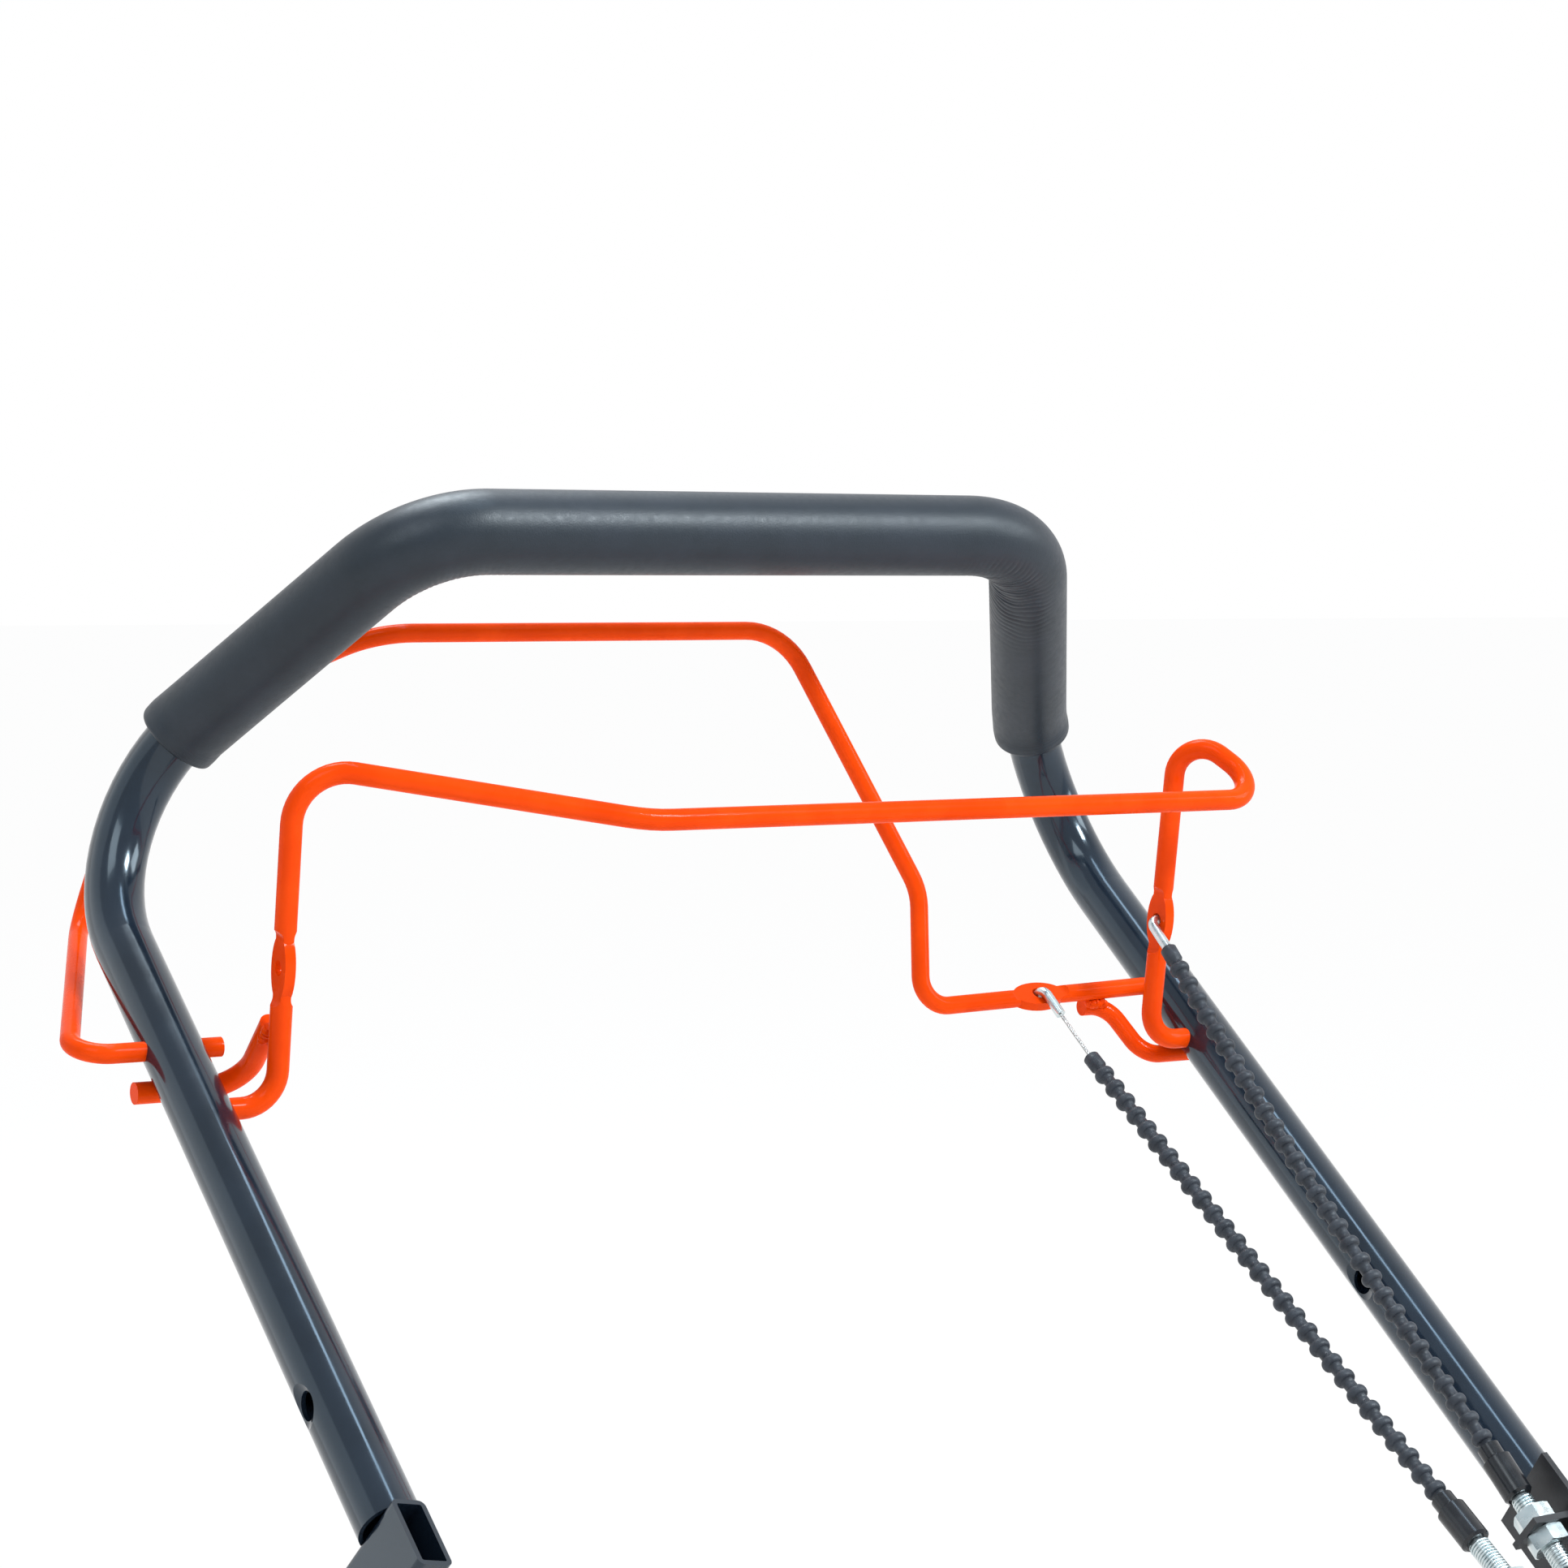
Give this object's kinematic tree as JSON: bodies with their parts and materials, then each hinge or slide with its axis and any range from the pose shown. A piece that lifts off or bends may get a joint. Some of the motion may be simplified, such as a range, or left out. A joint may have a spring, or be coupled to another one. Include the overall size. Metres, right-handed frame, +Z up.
{
  "type": "lawn mower handle",
  "caption": "Bent tube handle for a walk-behind mower, with a foam grip, hinged wire bails before and behind it, and booted control cables.",
  "frame": {"origin": "midway between the legs, on the axis of their bolt holes", "axes": "+X along the bolt axis towards the cable side, +Y level away from the mower, +Z up; the legs slope up towards +Y"},
  "size_m": [0.4935, 0.435, 0.4244],
  "materials": {
    "tube_paint": "gloss",
    "foam": "matte foam",
    "bail_paint": "gloss",
    "bracket_paint": "satin",
    "zinc": "bright zinc",
    "cable_steel": "drawn wire",
    "boot_rubber": "satin",
    "cap_plastic": "satin"
  },
  "bodies": {
    "root": {"handle_tube": "tube_paint", "foam_grip": "foam", "cable_bracket": "bracket_paint", "bracket_bolt": "zinc", "bracket_nut": "zinc", "leg_socket": "tube_paint", "front_cable_wire": "cable_steel", "front_cable_boot": "boot_rubber", "front_cable_cap": "cap_plastic", "front_cable_adjuster": "zinc", "front_upper_nut": "zinc", "front_lower_nut": "zinc", "rear_cable_wire": "cable_steel", "rear_cable_boot": "boot_rubber", "rear_cable_cap": "cap_plastic", "rear_cable_adjuster": "zinc", "rear_upper_nut": "zinc", "rear_lower_nut": "zinc"},
    "front_bail": {"front_bail_wire": "bail_paint", "front_bail_stop": "bail_paint", "front_bail_weld": "bail_paint", "front_cable_hook": "zinc"},
    "rear_bail": {"rear_bail_wire": "bail_paint", "rear_bail_stop": "bail_paint", "rear_bail_weld": "bail_paint", "rear_cable_hook": "zinc"}
  },
  "joints": [
    {"name": "front_bail_hinge", "type": "hinge", "parent": "root", "child": "front_bail", "pos_m": [0, 0.11245, 0.0817], "axis": [-1, 0, 0], "range_deg": [0, 25], "stiffness_Nm_per_rad": 2, "springref_deg": -17.19, "deforming": ["front_cable_wire", "front_cable_boot"]},
    {"name": "rear_bail_hinge", "type": "hinge", "parent": "root", "child": "rear_bail", "pos_m": [0, 0.13834, 0.10051], "axis": [1, 0, 0], "range_deg": [0, 12], "stiffness_Nm_per_rad": 2, "springref_deg": -17.19, "deforming": ["rear_cable_wire", "rear_cable_boot"]}
  ]
}
